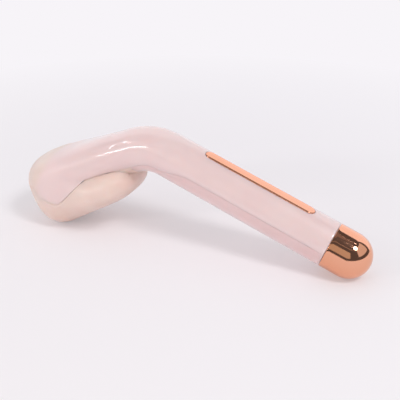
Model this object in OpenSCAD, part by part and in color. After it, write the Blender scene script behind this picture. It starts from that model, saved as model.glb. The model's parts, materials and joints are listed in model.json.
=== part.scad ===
// Heated eye massager wand: a round handle, a bend and a broad warm head, lying as on a table.
// The row frame has +X along the wand towards the end cap, +Z up, and its origin under the middle.

/* [Handle] */
// Outer diameter of the round handle
handle_d = 20; // [19:0.5:23]
// Length from the bend point to the seam of the end cap
handle_len = 88; // [86:1:100]
// Wall of the two casing shells
wall = 1.5; // [1.3:0.1:1.7]
// Angle by which the head turns away from the line of the handle
bend_turn = 44.5; // [38:0.5:48]
// Radius of the bend, on the middle line of the tube
bend_r = 23; // [20:1:26]

/* [Head] */
// Length from the bend point to the tip of the head
head_len = 69; // [68:1:76]
// Greatest width of the head, near its tip
tip_w = 37.6; // [36:0.2:42]
// Width of the head at its heel, under the neck
heel_w = 33.4; // [32:0.2:36]
// Height of the back of the head above the middle line of the neck
back_rise = 10.8; // [10.4:0.1:12]
// Depth of the massage face below the neck's middle line, at the tip
tip_drop = 23.2; // [22:0.2:26]
// Depth of the massage face below the neck's middle line, at the heel
heel_drop = 17.8; // [17:0.2:19]
// Distance from the bend point to the heel of the pad
heel_x = 10.9; // [10:0.1:12]
// Radius of the tip's upper edge
tip_top_r = 14.5; // [12:0.5:15]
// Radius of the tip's lower edge, on which the head rests
tip_low_r = 15.5; // [13:0.5:16]
// Radius of the heel
heel_r = 10.9; // [9:0.1:12]
// Wall of the soft pad
pad_wall = 2.2; // [1.8:0.1:2.6]
// Drop of the lip between neck and pad below the neck's middle line
lip_drop = 3.2; // [2.5:0.1:4]

/* [Power key] */
// Length of the metal key strip
key_len = 51.4; // [46:0.2:54]
// Width of the metal key strip
key_w = 6; // [5:0.1:6.6]
// Distance from the end of the key to the seam of the end cap
key_tail = 12.1; // [11:0.1:15]
// Height of the key's flat top above the handle
key_proud = 0.35; // [0.2:0.05:0.6]
// Travel of the key when it is pressed
key_travel = 0.5; // [0.3:0.05:0.6]
// Running clearance around the key
key_gap = 0.15; // [0.1:0.05:0.25]
// Thickness of the flange that keeps the key in its slot
flange_t = 0.8; // [0.6:0.1:1]
// Diameter of the stem that presses the switch
stem_d = 3; // [2.4:0.1:3.6]

/* [End cap] */
// Length of the straight part of the cap, before its dome
cap_straight = 8.8; // [8:0.1:11]
// Gap between the casing and the cap
cap_seam = 0.15; // [0.1:0.05:0.3]
// Metal thickness of the cap
cap_wall = 0.9; // [0.7:0.1:1.1]
// Radial clearance between the liner and the spigot that it slides on
cap_fit = 0.08; // [0.05:0.01:0.1]
// Radius of the spigot that carries the cap
spigot_r = 7.6; // [7.2:0.1:7.8]
// Length of the spigot beyond the casing
spigot_len = 9; // [8.4:0.1:10]
// Thickness of the sealing ring's cord
oring_t = 1.2; // [1:0.1:1.4]

/* [Electronics] */
// Diameter of the battery cell
cell_d = 10; // [9:0.1:10.2]
// Length of the battery cell
cell_len = 44; // [38:0.5:46]
// Thickness of the circuit boards
board_t = 1; // [0.8:0.1:1.2]
// Width of the control board
board_w = 14; // [12:0.5:14.5]
// Height of the switch body
switch_h = 1.7; // [1.5:0.1:1.9]
// Side of the square switch body
switch_w = 4.4; // [4:0.1:5]
// Diameter of the switch's plunger
plunger_d = 1.9; // [1.6:0.1:2.2]
// Width of the charging socket's shell
usb_w = 8.94; // [8.8:0.02:9.2]
// Height of the charging socket's shell
usb_h = 3.26; // [3.1:0.02:3.4]
// Depth of the charging socket
usb_len = 7.3; // [6.5:0.1:8]
// Diameter of the wires' insulation
lead_d = 0.8; // [0.6:0.1:1]

/* [Heater and motor] */
// Width of the heat spreader plate
plate_w = 21; // [18:0.5:22]
// Thickness of the heat spreader plate
plate_t = 0.8; // [0.6:0.1:1.2]
// Thickness of the heating film
film_t = 0.3; // [0.2:0.05:0.4]
// Thickness of the foam above the film
foam_t = 3; // [2.5:0.1:3.5]
// Thickness of the chassis plate in the head
chassis_t = 1.6; // [1.4:0.1:2]
// Height of the motor's axis above the chassis plate
motor_rise = 8; // [7:0.2:9]
// Diameter of the motor can
motor_d = 7; // [6:0.1:7.2]
// Length of the motor can
motor_len = 16; // [12:0.5:17]
// Diameter of the motor shaft
shaft_d = 1; // [0.8:0.1:1.2]
// Radius of the eccentric weight
weight_r = 3.2; // [2.8:0.1:3.4]
// Length of the eccentric weight
weight_len = 4; // [3:0.5:5]
// Thickness of the rubber sleeve around the motor
sleeve_t = 1; // [0.8:0.1:1.2]

/* [Hidden] */
$fn = 64;

casing_colour = [0.93, 0.83, 0.83];
pad_colour = [0.92, 0.83, 0.78];
gold_colour = [0.86, 0.58, 0.47];
slack = 0.05;                       // clearance of pieces that are set into one another
far = 200;                          // reach of the cutting blocks, past every piece

// Casing
handle_r = handle_d / 2;
bore_r = handle_r - wall;
tangent = bend_r * tan(bend_turn / 2);
split_run = 14;                     // length over which the parting line climbs to mid height
split_steps = 8;

// How the wand lies: the tip's lower edge and the cap's dome both touch the table
dome_x = handle_len + cap_straight;
rest_x = head_len - tip_low_r;
rest_z = tip_low_r - tip_drop;
lie_c = rest_x * sin(bend_turn) - rest_z * cos(bend_turn);
lie_s = -rest_x * cos(bend_turn) - rest_z * sin(bend_turn) - dome_x;
handle_slope = atan2(lie_s, lie_c) + acos((handle_r - tip_low_r) / norm([lie_c, lie_s]));
head_slope = bend_turn - handle_slope;
tip_reach = (head_len - tip_top_r) * cos(head_slope) + (back_rise - tip_top_r) * sin(head_slope)
    + tip_top_r;
cap_reach = dome_x * cos(handle_slope) + handle_r;
bend_x = (tip_reach - cap_reach) / 2;
bend_z = dome_x * sin(handle_slope) + handle_r;

// Head: where the neck starts and stops widening, and the fullness of its sections
flare_start = tangent + 2;
flare_end = head_len - 22;
back_end = head_len - 4;            // the back stops short of the pad's tip
back_step = 0.3;                    // and lies this much below the pad's shoulder
back_inset = 1;
back_low_r = 8;
shoulder_rise = head_len - 41;      // from here the pad's shoulder climbs to the back
shoulder_top = head_len - 19;
shoulder_z = -1;
plan_r = tip_w / 2 - 0.6;
section_power = 2.7;
blend = 12;                         // sharpness of the blend between neck and pad
neck_mid = -3.5;                    // height from which the neck's sections are measured
mid_rise = head_len - 29;
mid_run = 15;
head_rings = 25;
ring_sides = 44;
ring_spread = 0.9;                  // below 1 the rings lie closer at the tip
end_flat = 0.02;

// The neck's thin root: its wall starts inside the end of the bend's wall, and soon is as thick
root_end = tangent + 2;
root_step = 0.25;

// Outline, seen from the side, of the pink back's edge: lip, dip on the flank, climb round the tip
wave = [[tangent - 3, root_step - lip_drop], [tangent + 3, root_step - lip_drop],
    [tangent + 10.6, -lip_drop],
    [head_len - 41, -lip_drop - 0.1], [head_len - 35, -4.5], [head_len - 29, -7],
    [head_len - 24, -9], [head_len - 19.5, -9.9], [head_len - 15.5, -8.6], [head_len - 11, -7],
    [head_len - 7.5, -3.6], [head_len - 6.7, 0.5], [head_len - 9, 5], [head_len - 13, 9],
    [head_len - 16, 14]];
wave_steps = 4;

// Key and switch, from the handle's top downwards
key_start = handle_len - key_tail - key_len;
key_mid = key_start + key_len / 2;
key_top = handle_r + key_proud;
flange_rim = 0.8;                   // the flange stands out by this much round the key
flange_w = key_w + 2 * flange_rim;
flange_len = key_len + 2 * flange_rim;
flange_top = sqrt(bore_r * bore_r - flange_w * flange_w / 4) - key_gap;
stem_top = flange_top - flange_t;
stem_len = 0.75;
stem_low = stem_top - stem_len;
stop_gap = 0.2;                     // left between the stem and the switch with the key down
switch_top = stem_low - key_travel - stop_gap;
board_top = switch_top - switch_h;
board_low = board_top - board_t;
plunger_seat = 0.3;                 // depth of the plunger in the switch at rest
plunger_room = 0.1;
return_spread = 18;                 // distance of the return pads from the key's middle
return_d = 4;
return_gap = 0.15;

// Battery and its cradle, which ends a little before the tail plug
plug_depth = 6;                     // the plug reaches this far into the handle
plug_start = handle_len - plug_depth;
plug_room = 2;
cradle_end = 2;
cell_gap = 0.3;
cell_z = board_low - cell_gap - cell_d / 2;
cell_start = plug_start - plug_room - cradle_end - cell_len;
terminal_r = cell_d / 6;
terminal_len = 0.8;
cradle_r = bore_r - slack;
lead_z = board_low - lead_d / 2 - slack;
lead_notch_w = 9;                   // width of the notches through which wires pass

// Control board, from the key's start or from the battery's wires to the tail plug
board_room = 1.5;
lead_room = 6;
board_start = min(key_start, cell_start - lead_room);
board_len = plug_start - board_room - board_start;
// Chips on it: distance from the key's middle, length, width and height of each
chips = [[-14.2, 5, 5, 0.9], [6.3, 5, 6, 1.2], [21.5, 3, 3, 0.8]];
light_inset = 2.2;
light_size = [1.6, 3, 0.8];

// Tail plug, charging socket and cap
spigot_end = handle_len + spigot_len;
socket_start = spigot_end - usb_len;
tail_board_w = 10.6;
tail_board_start = plug_start + 1;
liner_r = spigot_r + cap_fit;
cap_bore = handle_r - cap_wall;
cap_depth = dome_x + 0.6;           // depth to which the cap is bored for its liner
liner_inset = 0.2;
tail_cover = 0.6;
board_channel = 1;                  // the plug holds the board's sides by this much
usb_wall = 0.35;
usb_back = 1;
usb_tongue_w = 6.6;
usb_tongue_t = 0.7;
usb_tongue_inset = 0.7;
dome_wall = 1.4;
oring_x = handle_len + spigot_len / 2;
oring_r = liner_r - slack - oring_t / 2;

// Stack in the head, in a frame that lies on the pad's inner floor
floor_tilt = atan((tip_drop - heel_drop) / (rest_x - heel_x));
heel_margin = 9.1;                  // from the pad's heel to the heat spreader
tip_margin = 13;                    // and from the heat spreader to the pad's tip
plate_len = head_len - tip_margin - heel_x - heel_margin;
floor_x = heel_x + heel_margin + plate_len / 2;
plate_sink = 0.1;
floor_z = low_line(floor_x) + pad_wall - plate_sink;
film_z = plate_t;
foam_z = film_z + film_t;
chassis_z = foam_z + foam_t;
motor_z = chassis_z + chassis_t + motor_rise;
motor_back = 10;
motor_start = -motor_back;
motor_end = motor_start + motor_len;
collar_r = 1.6;
collar_len = 0.6;
shaft_inset = 2;                    // the shaft starts this far inside the can
shaft_gap = 0.2;
shaft_tip = 0.5;
weight_gap = 0.3;
weight_start = motor_end + collar_len + weight_gap;
weight_hub_r = 1.2;
sleeve_r = motor_d / 2 + sleeve_t;
sleeve_start = motor_start + 2;
sleeve_len = 11;
cradle_side = 1.5;
cradle_w = 2 * (sleeve_r + cradle_side);
snap_rise = 2.5;                    // the cradle closes over the sleeve by this much
film_margin = 2;
sensor_x = 6;
sensor_d = 2.4;
sensor_h = 1.8;
chassis_len = plate_len + 2;
chassis_w = plate_w + 3.5;
lead_notch_x = -plate_len / 2 + 4.2;
screw_x = 9;
screw_y = 7.5;
screw_r = 0.7;
screw_len = 4.8;
screw_head_r = 1.5;
screw_head_h = 0.9;
recess_r = 0.5;
recess_depth = 0.5;
motor_side = 1.2;                   // half the distance between the motor's two wires
heater_side = 3.6;                  // and between the heater's
lead_bow = 4;                       // length over which a wire leaves its end
boss_r = 2.2;
boss_root = 0.1;                    // the bosses reach this far into the shell's wall
boss_top = (back_rise - wall + boss_root - floor_z + screw_x * sin(floor_tilt)) / cos(floor_tilt);

// ---- curves ----

function smooth(t) = let (u = max(0, min(1, t))) u * u * (3 - 2 * u);
function between(a, b, t) = a + (b - a) * t;

// A smooth curve through the points p, with n steps from each point to the next
function curve_point(p, i, t) =
    let (last = len(p) - 1, a = p[max(i - 1, 0)], b = p[i], c = p[i + 1], d = p[min(i + 2, last)])
    0.5 * (2 * b + (c - a) * t + (2 * a - 5 * b + 4 * c - d) * t * t
        + (3 * b - a - 3 * c + d) * t * t * t);
function curve(p, n) =
    concat([for (i = [0 : len(p) - 2]) for (k = [0 : n - 1]) curve_point(p, i, k / n)],
        [p[len(p) - 1]]);

// ---- form of the head, in a frame that starts at the bend and runs to the tip ----

// The drop of a round edge of radius r at the distance d inside its end
function rounding(d, r) = d >= r ? 1 : sqrt(max(1 - pow((r - d) / r, 2), 0.0004));
function edge_drop(d, r) = d >= r ? 0 : r - sqrt(max(r * r - pow(r - d, 2), 0));

function low_line(x) =
    -heel_drop - (tip_drop - heel_drop) * max(0, min(1, (x - heel_x) / (rest_x - heel_x)));
function pad_low(x, t) = low_line(x) + t + edge_drop(head_len - t - x, tip_low_r - t);
function pad_high(x, t) =
    between(shoulder_z, back_rise, smooth((x - shoulder_rise) / (shoulder_top - shoulder_rise)))
    - t - edge_drop(head_len - t - x, tip_top_r - t);
function neck_r(x, t) =
    handle_r - (t == 0 ? 1 : -1) * root_step * max(0, min(1, (root_end - x) / (root_end - tangent)));
function flare(x) = smooth((x - flare_start) / (flare_end - flare_start));
function back_high(x, t) =
    between(neck_r(x, t), back_rise - back_step, flare(x)) - t
    - edge_drop(back_end - t - x, tip_top_r - t);
function back_low(x, t) = t - neck_r(x, t) + edge_drop(back_end - t - x, back_low_r - t);

function oval(y, z, w, low, high, power) =
    low >= high ? 99 : pow(abs(y) / w, power) + pow(abs(2 * z - high - low) / (high - low), power) - 1;
function back_form(x, y, z, t) =
    let (half = between(neck_r(x, t), tip_w / 2 - back_inset, flare(x)) - t)
    oval(y, z, half * rounding(back_end - t - x, plan_r - t), back_low(x, t), back_high(x, t),
        between(2, section_power, flare(x)));
function pad_form(x, y, z, t) =
    let (k = min(rounding(head_len - t - x, plan_r - t), rounding(x - heel_x - t, heel_r - t)),
        h = rounding(x - heel_x - t, heel_r - t), low = pad_low(x, t), high = pad_high(x, t),
        mid = (low + high) / 2)
    x < heel_x + t ? 99
    : oval(y, z, (between(heel_w, tip_w, smooth((x - heel_x) / (flare_end - heel_x))) / 2 - t) * k,
        mid + (low - mid) * h, mid + (high - mid) * h, section_power);
function head_form(x, y, z, t) =
    -ln(exp(-blend * back_form(x, y, z, t)) + exp(-blend * pad_form(x, y, z, t))) / blend;

// Distance from the middle of a section to its surface, along the angle a
function reach(x, a, mid, t, low, high, n) =
    let (r = (low + high) / 2)
    n == 0 ? r
    : head_form(x, r * cos(a), mid + r * sin(a), t) > 0
        ? reach(x, a, mid, t, low, r, n - 1) : reach(x, a, mid, t, r, high, n - 1);
function section_mid(x) =
    between(neck_mid, (pad_low(x, 0) + pad_high(x, 0)) / 2, smooth((x - mid_rise) / mid_run));
function section(x, t) =
    let (mid = section_mid(x))
    [for (j = [0 : ring_sides - 1])
        let (a = 360 * j / ring_sides, r = reach(x, a, mid, t, 0, 40, 14))
        [x, r * cos(a), mid + r * sin(a)]];

// ---- frames ----

module at_handle() {
    translate([bend_x, 0, bend_z]) rotate([0, handle_slope, 0]) children();
}

module at_head() {
    translate([bend_x, 0, bend_z]) rotate([0, -head_slope, 0]) rotate([0, 0, 180]) children();
}

module at_floor() {
    at_head() translate([floor_x, 0, floor_z]) rotate([0, floor_tilt, 0]) children();
}

// A point of the handle's, the head's or the floor's frame, in the row frame
function handle_point(p) = [bend_x + p.x * cos(handle_slope) + p.z * sin(handle_slope), p.y,
    bend_z - p.x * sin(handle_slope) + p.z * cos(handle_slope)];
function head_point(p) = [bend_x - p.x * cos(head_slope) - p.z * sin(head_slope), -p.y,
    bend_z - p.x * sin(head_slope) + p.z * cos(head_slope)];
function floor_point(p) = head_point([floor_x + p.x * cos(floor_tilt) + p.z * sin(floor_tilt), p.y,
    floor_z - p.x * sin(floor_tilt) + p.z * cos(floor_tilt)]);

// ---- shared shapes ----

module rod(r, from, to) {
    translate([from, 0, 0]) rotate([0, 90, 0]) cylinder(r = r, h = to - from);
}

module slot_shape(length, width) {
    square([length - width, width], center = true);
    for (side = [-1, 1]) translate([side * (length - width) / 2, 0]) circle(d = width);
}

module slot_block(length, width, low, high) {
    translate([0, 0, low]) linear_extrude(high - low) slot_shape(length, width);
}

// A solid through rings of points; each ring has the same number of points
module loft(rings) {
    sides = len(rings[0]);
    last = len(rings) - 1;
    polyhedron(
        points = [for (ring = rings) for (point = ring) point],
        faces = concat(
            [for (i = [0 : last - 1]) for (j = [0 : sides - 1])
                let (k = (j + 1) % sides)
                [i * sides + j, (i + 1) * sides + j, (i + 1) * sides + k, i * sides + k]],
            [[for (j = [0 : sides - 1]) j]],
            [[for (j = [sides - 1 : -1 : 0]) last * sides + j]]),
        convexity = 6);
}

// The head's form, drawn in by t and cut square at its start in the neck
module head_body(t, start) {
    run = head_len - t - end_flat - root_end;
    loft(concat([section(start, t)], [for (i = [0 : head_rings])
        section(root_end + run * sin(90 * pow(i / head_rings, ring_spread)), t)]));
}

// Everything above the edge of the pink back, in the head's frame
module above_edge() {
    edge = curve(wave, wave_steps);
    rotate([90, 0, 0]) linear_extrude(far, center = true)
        polygon(concat(edge, [[edge[len(edge) - 1].x, far], [-far, far], [-far, edge[0].y]]));
}

// Everything above the parting line of the handle, in the handle's frame
module above_parting() {
    line = [for (k = [0 : split_steps])
        [tangent + split_run * k / split_steps, -lip_drop * (1 - smooth(k / split_steps))]];
    rotate([90, 0, 0]) linear_extrude(far, center = true)
        polygon(concat([[0, -lip_drop]], line, [[far, 0], [far, far], [0, far]]));
}

// The bend's tube between two distances below its middle line, in the handle's frame
module bend_tube(low, high) {
    translate([tangent, 0, -bend_r]) rotate([90, 0, 0]) rotate([0, 0, 90])
        rotate_extrude(angle = bend_turn) intersection() {
            translate([bend_r, 0]) difference() {
                circle(handle_r);
                circle(bore_r);
            }
            translate([bend_r + low, -handle_d]) square([high - low, 2 * handle_d]);
        }
}

module handle_tube() {
    difference() {
        rod(handle_r, tangent, handle_len);
        rod(bore_r, tangent - 1, handle_len + 1);
    }
}

// A wire with the diameter d along the points p of the row frame
module wire(p, d) {
    line = curve(p, 3);
    last = len(line) - 1;
    loft([for (i = [0 : last])
        let (run = line[min(i + 1, last)] - line[max(i - 1, 0)],
            side = cross([0, 0, 1], run), n = side / norm(side), m = cross(run, n) / norm(run))
        [for (a = [0 : 45 : 315]) line[i] + d / 2 * (n * cos(a) + m * sin(a))]]);
}

// ---- casing ----

module upper_shell() {
    color(casing_colour) {
        at_handle() {
            difference() {
                intersection() {
                    handle_tube();
                    above_parting();
                }
                translate([key_mid, 0, 0])
                    slot_block(key_len + 2 * key_gap, key_w + 2 * key_gap, 0, far);
            }
            bend_tube(-lip_drop, far);
        }
        at_head() intersection() {
            difference() {
                head_body(0, tangent);
                head_body(wall, tangent - 1);
            }
            above_edge();
        }
        at_floor() for (side = [-1, 1]) translate([screw_x, side * screw_y, 0]) difference() {
            translate([0, 0, chassis_z + chassis_t])
                cylinder(r = boss_r, h = boss_top - chassis_z - chassis_t);
            cylinder(r = screw_r + slack, h = chassis_z + screw_head_h + screw_len + slack);
        }
    }
}

module lower_shell() {
    color(casing_colour) at_handle() {
        difference() {
            handle_tube();
            above_parting();
        }
        bend_tube(-far, -lip_drop);
    }
}

module massage_pad() {
    color(pad_colour) {
        difference() {
            at_head() difference() {
                head_body(0, tangent);
                above_edge();
                head_body(pad_wall, tangent - 1);
            }
            at_floor()
                slot_block(plate_len + 2 * slack, plate_w + 2 * slack, 0, chassis_z + chassis_t);
        }
    }
}

// ---- heater and motor, on the pad's inner floor ----

module heat_spreader() {
    color("silver") at_floor() slot_block(plate_len, plate_w, 0, plate_t);
}

module heating_film() {
    color("chocolate") at_floor()
        slot_block(plate_len - film_margin, plate_w - film_margin, film_z, foam_z);
}

module temperature_sensor() {
    color("dimgray") at_floor() translate([sensor_x, 0, foam_z]) cylinder(d = sensor_d, h = sensor_h);
}

module foam_insulator() {
    color("whitesmoke") at_floor() difference() {
        slot_block(plate_len - film_margin, plate_w - film_margin, foam_z, chassis_z);
        translate([sensor_x, 0, 0]) cylinder(d = sensor_d + 4 * slack, h = far);
        translate([-far + lead_notch_x, -lead_notch_w / 2, 0]) cube([far, lead_notch_w, far]);
    }
}

module head_chassis() {
    top = chassis_z + chassis_t;
    color("gainsboro") at_floor() difference() {
        union() {
            slot_block(chassis_len, chassis_w, chassis_z, top);
            translate([sleeve_start, -cradle_w / 2, top])
                cube([sleeve_len, cradle_w, motor_z + snap_rise - top]);
        }
        translate([0, 0, motor_z]) rod(sleeve_r + slack, sleeve_start - 1, sleeve_start + sleeve_len + 1);
        translate([-far + lead_notch_x, -lead_notch_w / 2, 0]) cube([far, lead_notch_w, top + 1]);
        for (side = [-1, 1]) translate([screw_x, side * screw_y, 0]) {
            cylinder(r = screw_r + slack, h = far);
            cylinder(r = screw_head_r + slack, h = chassis_z + screw_head_h);
        }
    }
}

module chassis_screws() {
    color("silver") at_floor() for (side = [-1, 1]) translate([screw_x, side * screw_y, chassis_z]) {
        difference() {
            cylinder(r = screw_head_r, h = screw_head_h);
            translate([0, 0, -1]) cylinder(r = recess_r, h = 1 + recess_depth);
        }
        translate([0, 0, screw_head_h]) cylinder(r = screw_r, h = screw_len);
    }
}

module motor_sleeve() {
    color("dimgray") at_floor() translate([0, 0, motor_z]) difference() {
        rod(sleeve_r, sleeve_start, sleeve_start + sleeve_len);
        rod(motor_d / 2, sleeve_start - 1, sleeve_start + sleeve_len + 1);
    }
}

module motor_can() {
    color("silver") at_floor() translate([0, 0, motor_z]) difference() {
        union() {
            rod(motor_d / 2, motor_start, motor_end);
            rod(collar_r, motor_end, motor_end + collar_len);
        }
        rod(shaft_d / 2 + slack, motor_start + shaft_inset, far);
    }
}

module motor_shaft() {
    color("gray") at_floor() translate([0, 0, motor_z])
        rod(shaft_d / 2, motor_start + shaft_inset + shaft_gap, weight_start + weight_len + shaft_tip);
}

module eccentric_weight() {
    color("darkgray") at_floor() translate([0, 0, motor_z]) difference() {
        union() {
            rod(weight_hub_r, weight_start, weight_start + weight_len);
            difference() {
                rod(weight_r, weight_start, weight_start + weight_len);
                translate([0, -far / 2, 0]) cube(far);
            }
        }
        rod(shaft_d / 2, 0, far);
    }
}

// ---- battery, boards and switch, in the handle ----

module battery_cell() {
    color("seagreen") at_handle() translate([0, 0, cell_z]) {
        rod(cell_d / 2, cell_start, cell_start + cell_len);
        rod(terminal_r, cell_start + cell_len, cell_start + cell_len + terminal_len);
    }
}

module battery_cradle() {
    from = cell_start - cradle_end;
    to = cell_start + cell_len + cradle_end;
    room = cell_len + terminal_len + 2 * slack;
    color("gainsboro") at_handle() difference() {
        rod(cradle_r, from, to);
        translate([from - 1, -far / 2, board_low]) cube([to - from + 2, far, far]);
        translate([0, 0, cell_z])
            rod(cell_d / 2 + slack, cell_start - slack, cell_start - slack + room);
        translate([cell_start - slack, -cell_d / 2 - slack, cell_z])
            cube([room, cell_d + 2 * slack, far]);
        for (x = [from - 1, to - cradle_end])
            translate([x, -lead_notch_w / 2, cell_z]) cube([cradle_end + 1, lead_notch_w, far]);
    }
}

module control_board() {
    color("darkgreen") at_handle() translate([board_start, -board_w / 2, board_low])
        cube([board_len, board_w, board_t]);
}

module control_chips() {
    color("black") at_handle() for (chip = chips)
        translate([key_mid + chip[0], -chip[2] / 2, board_top])
            cube([chip[1], chip[2], chip[3]]);
}

module status_light() {
    color("ivory") at_handle()
        translate([board_start + board_len - light_inset, -light_size.y / 2, board_top])
            cube(light_size);
}

module switch_body() {
    color("dimgray") at_handle() translate([key_mid, 0, board_top]) difference() {
        translate([-switch_w / 2, -switch_w / 2, 0]) cube([switch_w, switch_w, switch_h]);
        translate([0, 0, switch_h - plunger_seat - key_travel - plunger_room])
            cylinder(d = plunger_d + 2 * slack, h = far);
    }
}

module switch_plunger() {
    color("black") at_handle() translate([key_mid, 0, switch_top - plunger_seat])
        cylinder(d = plunger_d, h = stem_low - switch_top + plunger_seat);
}

module power_key() {
    color(gold_colour) at_handle() translate([key_mid, 0, 0]) {
        slot_block(key_len, key_w, flange_top, key_top);
        slot_block(flange_len, flange_w, stem_top, flange_top);
        translate([0, 0, stem_low]) cylinder(d = stem_d, h = stem_top - stem_low);
    }
}

module return_pads() {
    top = stem_top - key_travel - return_gap;
    color("ghostwhite") at_handle() for (side = [-1, 1])
        translate([key_mid + side * return_spread, 0, board_top])
            cylinder(d = return_d, h = top - board_top);
}

// ---- tail: plug, socket and pull-off cap ----

module tail_plug() {
    board_z = -usb_h / 2 - board_t;
    color("gainsboro") at_handle() difference() {
        union() {
            rod(bore_r - slack, plug_start, handle_len);
            rod(spigot_r, handle_len, spigot_end);
        }
        translate([oring_x, 0, 0]) rotate([0, 90, 0]) rotate_extrude()
            translate([oring_r - oring_t / 2 - slack, -oring_t / 2 - slack])
                square([oring_t + 2, oring_t + 2 * slack]);
        translate([socket_start - slack, 0, 0]) rotate([90, 0, 90]) linear_extrude(far)
            slot_shape(usb_w + 2 * slack, usb_h + 2 * slack);
        translate([plug_start - 1, -tail_board_w / 2 - slack, board_z - slack])
            cube([spigot_end - plug_start - tail_cover + 1 + slack, tail_board_w + 2 * slack,
                board_t + 2 * slack]);
        translate([plug_start - 1, board_channel - tail_board_w / 2, -usb_h / 2])
            cube([socket_start - plug_start + 1, tail_board_w - 2 * board_channel, usb_h]);
    }
}

module charging_socket() {
    color("silver") at_handle() {
        difference() {
            translate([socket_start, 0, 0]) rotate([90, 0, 90]) linear_extrude(usb_len)
                slot_shape(usb_w, usb_h);
            translate([socket_start + usb_back, 0, 0]) rotate([90, 0, 90]) linear_extrude(far)
                slot_shape(usb_w - 2 * usb_wall, usb_h - 2 * usb_wall);
        }
        translate([socket_start + usb_back / 2, -usb_tongue_w / 2, -usb_tongue_t / 2])
            cube([usb_len - usb_back / 2 - usb_tongue_inset, usb_tongue_w, usb_tongue_t]);
    }
}

module charging_board() {
    color("darkgreen") at_handle()
        translate([tail_board_start, -tail_board_w / 2, -usb_h / 2 - board_t])
            cube([spigot_end - tail_cover - tail_board_start, tail_board_w, board_t]);
}

module end_cap() {
    color(gold_colour) at_handle() difference() {
        union() {
            rod(handle_r, handle_len + cap_seam, dome_x);
            translate([dome_x, 0, 0]) sphere(handle_r);
        }
        rod(cap_bore, handle_len - 1, cap_depth);
        translate([dome_x, 0, 0]) sphere(handle_r - dome_wall);
        rod(handle_r - dome_wall, handle_len - 1, dome_x);
        rod(far, handle_len - far, handle_len + cap_seam);
    }
}

module cap_liner() {
    color("gainsboro") at_handle() difference() {
        rod(cap_bore - slack, handle_len + cap_seam + liner_inset, cap_depth - slack);
        rod(liner_r, handle_len, cap_depth + 1);
    }
}

module cap_seal_ring() {
    color("dimgray") at_handle() translate([oring_x, 0, 0]) rotate([0, 90, 0]) rotate_extrude()
        translate([oring_r, 0]) circle(d = oring_t);
}

// ---- wires, each pair side by side ----

module battery_leads() {
    color("red") for (side = [-1, 1]) wire([for (p = [
        [cell_start - 0.5, 2, cell_z + 1.5],
        [cell_start - 3.2, 2.2, cell_z + 2.4],
        [cell_start - 4.6, 2.6, board_low - 2],
        [cell_start - 3.6, 3, lead_z]])
        handle_point([p.x, side * p.y, p.z])], lead_d);
}

module charging_leads() {
    color("orange") for (side = [-1, 1]) wire([for (p = [
        [tail_board_start + 1.6, 2, -usb_h / 2 + lead_d / 2 + slack],
        [tail_board_start - 0.6, 2, -usb_h / 2 + 0.9],
        [plug_start - 1.6, 2.4, 0.2],
        [plug_start - 3, 2.8, lead_z]])
        handle_point([p.x, side * p.y, p.z])], lead_d);
}

module motor_leads() {
    color("royalblue") for (side = [-1, 1]) wire([
        floor_point([motor_start - lead_d / 2 - slack, side * motor_side, motor_z + lead_d / 2]),
        floor_point([motor_start - lead_bow, side * motor_side, motor_z + lead_bow / 2]),
        head_point([tangent + lead_bow, side * motor_side, -lip_drop / 2]),
        head_point([lead_bow / 2, side * motor_side, -lip_drop * 3 / 4]),
        handle_point([tangent, -side * motor_side, -lead_d]),
        handle_point([board_start - lead_bow, -side * motor_side, board_low - lead_bow / 2]),
        handle_point([board_start + lead_bow / 2, -side * motor_side, lead_z])], lead_d);
}

module heater_leads() {
    color("firebrick") for (side = [-1, 1]) wire([
        floor_point([lead_notch_x - lead_d, side * heater_side * 5 / 6, foam_z + lead_d / 2 + slack]),
        floor_point([lead_notch_x - lead_bow * 3 / 4, side * heater_side * 5 / 6, foam_z + 2 * lead_d]),
        floor_point([lead_notch_x - lead_bow, side * heater_side * 5 / 6,
            chassis_z + chassis_t + lead_bow / 2]),
        head_point([tangent + lead_bow, side * heater_side, -lip_drop * 7 / 4]),
        head_point([lead_bow / 2, side * heater_side, -lip_drop * 7 / 4]),
        handle_point([tangent, -side * heater_side, -lip_drop]),
        handle_point([board_start - lead_bow, -side * heater_side, board_low - lead_bow * 3 / 4]),
        handle_point([board_start + lead_bow / 2, -side * heater_side, lead_z])], lead_d);
}

upper_shell();
lower_shell();
massage_pad();
heat_spreader();
heating_film();
temperature_sensor();
foam_insulator();
head_chassis();
chassis_screws();
motor_sleeve();
motor_can();
motor_shaft();
eccentric_weight();
battery_cell();
battery_cradle();
control_board();
control_chips();
status_light();
switch_body();
switch_plunger();
power_key();
return_pads();
tail_plug();
charging_socket();
charging_board();
end_cap();
cap_liner();
cap_seal_ring();
battery_leads();
charging_leads();
motor_leads();
heater_leads();
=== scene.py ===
import json
import math

import bmesh
import bpy
import numpy as np
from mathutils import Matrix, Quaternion, Vector


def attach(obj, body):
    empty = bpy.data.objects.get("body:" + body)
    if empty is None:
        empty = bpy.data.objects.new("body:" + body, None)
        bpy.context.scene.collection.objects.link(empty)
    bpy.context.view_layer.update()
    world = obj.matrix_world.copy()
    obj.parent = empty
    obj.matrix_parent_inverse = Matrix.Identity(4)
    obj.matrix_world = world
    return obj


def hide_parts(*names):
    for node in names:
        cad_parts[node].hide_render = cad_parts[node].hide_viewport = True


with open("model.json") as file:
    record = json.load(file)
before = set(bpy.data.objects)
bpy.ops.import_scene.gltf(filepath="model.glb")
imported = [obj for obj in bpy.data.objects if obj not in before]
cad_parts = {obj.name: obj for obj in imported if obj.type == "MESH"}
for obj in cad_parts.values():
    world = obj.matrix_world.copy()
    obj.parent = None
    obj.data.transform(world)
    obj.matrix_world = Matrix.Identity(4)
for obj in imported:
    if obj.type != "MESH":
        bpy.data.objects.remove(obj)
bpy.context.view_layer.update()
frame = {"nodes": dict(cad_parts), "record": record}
mm = 0.001


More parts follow.
